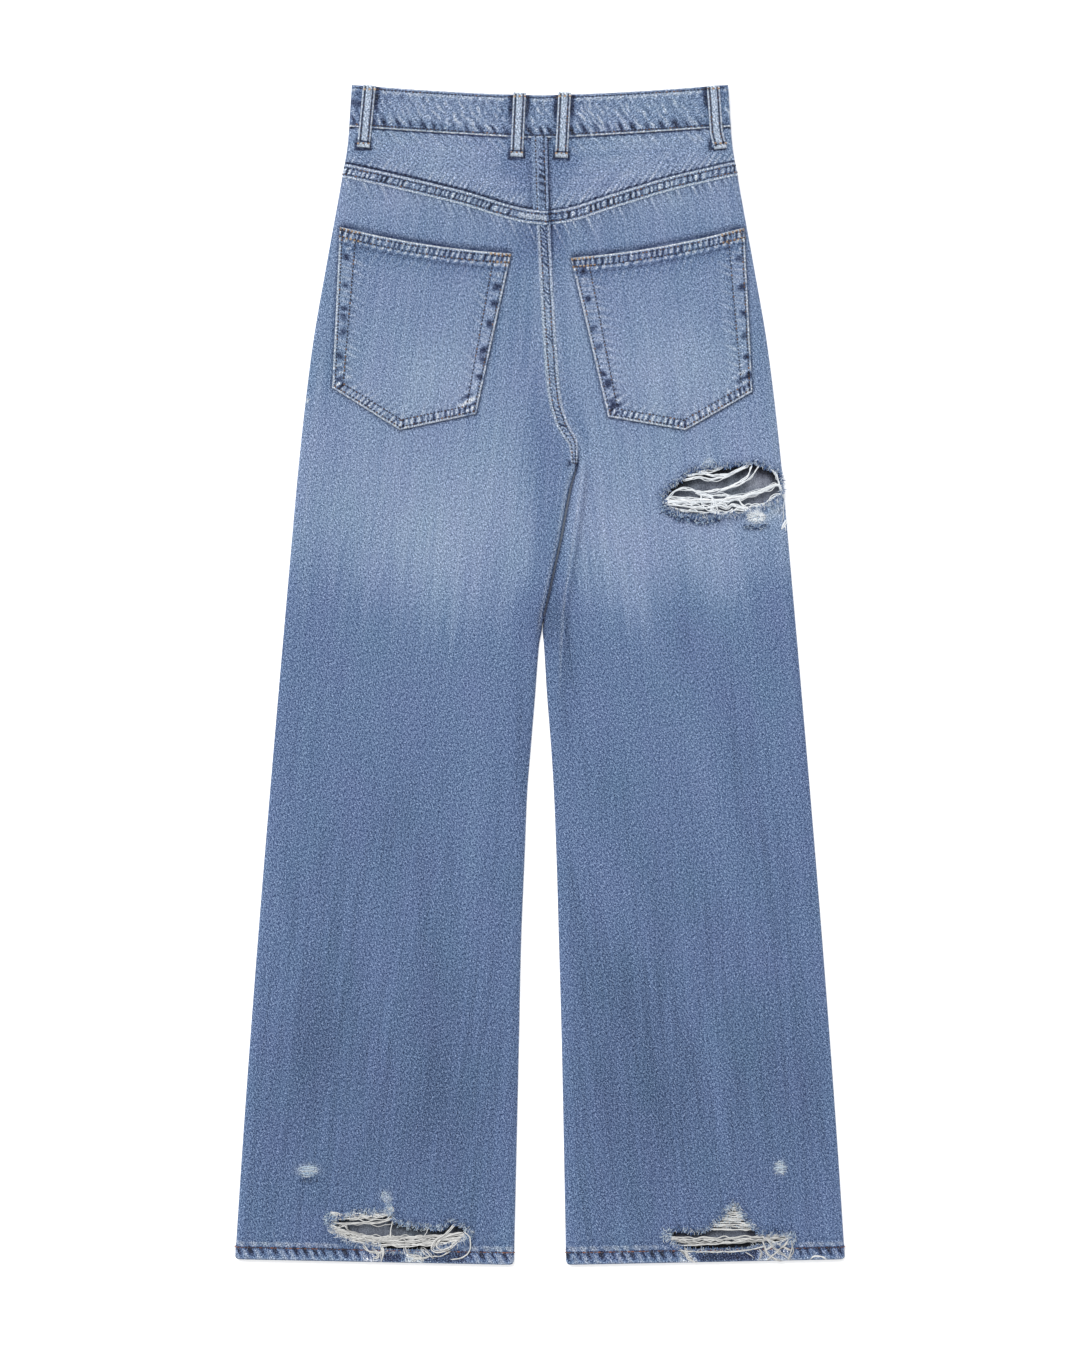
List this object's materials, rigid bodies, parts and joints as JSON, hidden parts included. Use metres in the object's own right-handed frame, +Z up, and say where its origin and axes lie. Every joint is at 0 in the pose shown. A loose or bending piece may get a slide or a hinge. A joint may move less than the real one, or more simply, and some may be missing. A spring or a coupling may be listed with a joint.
{
  "type": "ripped jeans",
  "caption": "Wide-leg ripped jeans laid flat with the back up: closed fly, patch pockets, belt loops, and frayed holes at one thigh and both hems.",
  "frame": {"origin": "on the floor, under the middle of the garment's length and width", "axes": "+Y towards the waist, +X towards the wearer's right, +Z up, away from the floor, the way the jeans' back faces"},
  "size_m": [0.5738, 1.109, 0.0104],
  "materials": {
    "denim_back": "washed mid-blue twill, faded lighter over the seat and thighs",
    "denim_yoke": "washed light-blue twill",
    "denim_pocket": "washed light-blue twill, near-white folded edges",
    "denim_front": "washed mid-blue twill",
    "denim_inner": "unfaded blue twill",
    "denim_band": "washed light-blue twill with roped edges",
    "denim_loop": "washed grey-blue twill, worn edges",
    "button_brass": "plain aged brass, unmarked"
  },
  "bodies": {
    "root": {"back_leg_left": "denim_back", "back_leg_right": "denim_back", "yoke_left": "denim_yoke", "yoke_right": "denim_yoke", "back_pocket_left": "denim_pocket", "back_pocket_right": "denim_pocket", "front_leg_left": "denim_front", "front_leg_right": "denim_front", "front_pocket_facing_left": "denim_inner", "front_pocket_facing_right": "denim_inner", "fly_shield": "denim_inner", "waistband": "denim_band", "belt_loop_side_left": "denim_loop", "belt_loop_back_left": "denim_loop", "belt_loop_back_right": "denim_loop", "belt_loop_side_right": "denim_loop", "belt_loop_front_left": "denim_loop", "belt_loop_front_right": "denim_loop", "waist_button": "button_brass"}
  },
  "joints": []
}
